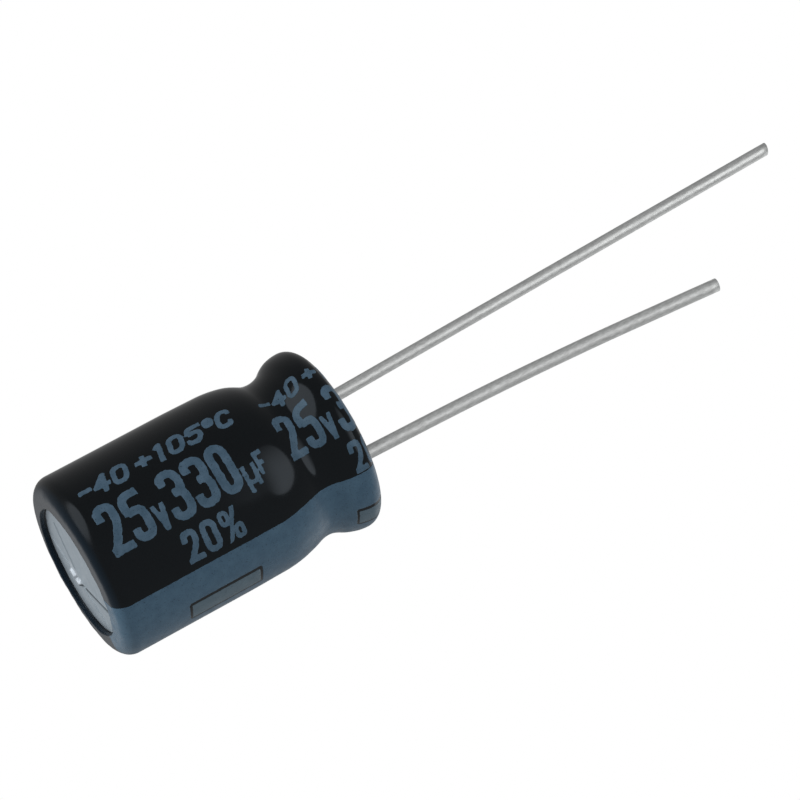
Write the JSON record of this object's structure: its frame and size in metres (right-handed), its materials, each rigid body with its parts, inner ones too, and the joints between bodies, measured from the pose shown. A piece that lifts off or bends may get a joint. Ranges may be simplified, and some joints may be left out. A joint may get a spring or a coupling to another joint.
{
  "type": "radial electrolytic capacitor",
  "caption": "Small radial electrolytic capacitor: sleeved can with a rolled groove, a scored pressure vent, a polarity stripe and long splayed tinned leads; stores charge on a circuit board.",
  "frame": {"origin": "on the can's axis, at the underside of the sleeve's lip at the vent end, on which the part stands", "axes": "+Z along the can's axis from the vent end to the leads, +X from the axis towards the negative lead"},
  "size_m": [0.0082, 0.0082, 0.0367],
  "materials": {
    "sleeve_film": "glossy black shrunk film",
    "stripe_print": "blue-grey ink on the glossy film",
    "can_aluminium": "drawn aluminium, matt with fine drawing marks",
    "seal_rubber": "moulded rubber, satin",
    "tinned_wire": "satin tin plate with fine marks along the wire",
    "tab_aluminium": "plain aluminium",
    "winding_paper": "soaked paper and etched foil, wound tight",
    "closing_tape": "thin yellowish tape"
  },
  "bodies": {
    "root": {"sleeve": "sleeve_film", "polarity_stripe": "stripe_print", "can": "can_aluminium", "end_seal": "seal_rubber", "positive_lead": "tinned_wire", "negative_lead": "tinned_wire", "positive_tab": "tab_aluminium", "negative_tab": "tab_aluminium", "winding": "winding_paper", "winding_tape": "closing_tape"}
  },
  "joints": []
}
